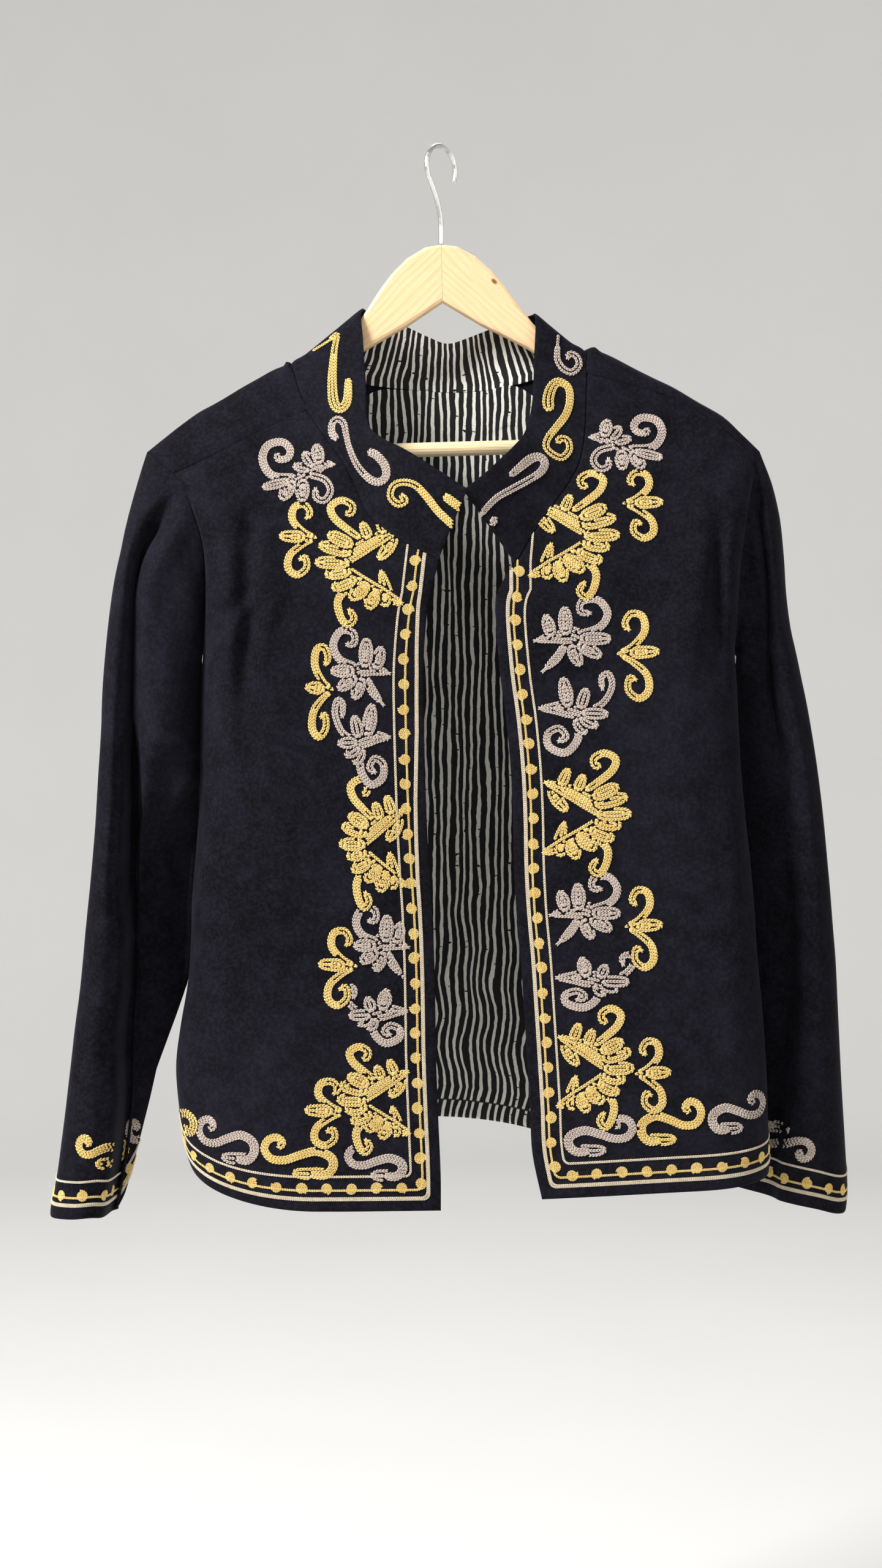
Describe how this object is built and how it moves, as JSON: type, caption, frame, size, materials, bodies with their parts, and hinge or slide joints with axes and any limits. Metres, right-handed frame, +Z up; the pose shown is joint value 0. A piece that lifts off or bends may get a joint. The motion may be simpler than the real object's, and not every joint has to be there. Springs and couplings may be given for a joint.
{
  "type": "embroidered jacket on a wooden hanger",
  "caption": "Loose velvet jacket with a stand collar, chain-stitched borders and leaf scrolls, hanging open on a wooden hanger with a trouser bar.",
  "frame": {"origin": "inner top of the hanger's hook, where a rail carries it", "axes": "+Z up, +X to the right as the jacket faces the viewer, +Y away from the viewer; the fronts face -Y"},
  "size_m": [0.5904, 0.1173, 0.7888],
  "materials": {
    "velvet": "black velvet with a faint violet sheen",
    "lining": "black cotton with wavy off-white stripes",
    "pine": "pale pine, satin lacquer",
    "dowel": "pale ash dowel, bare",
    "steel": "plated wire",
    "gold_thread": "gold chain stitch",
    "mauve_thread": "mauve-grey chain stitch",
    "cream_thread": "cream chain stitch"
  },
  "bodies": {
    "root": {"front_right": "velvet", "front_left": "velvet", "back": "velvet", "sleeve_right": "velvet", "sleeve_left": "velvet", "collar": "velvet", "collar_lining": "lining", "back_lining": "lining", "hanger_arm_right": "pine", "hanger_arm_left": "pine", "hanger_bar": "dowel", "hanger_hook": "steel"}
  },
  "joints": []
}
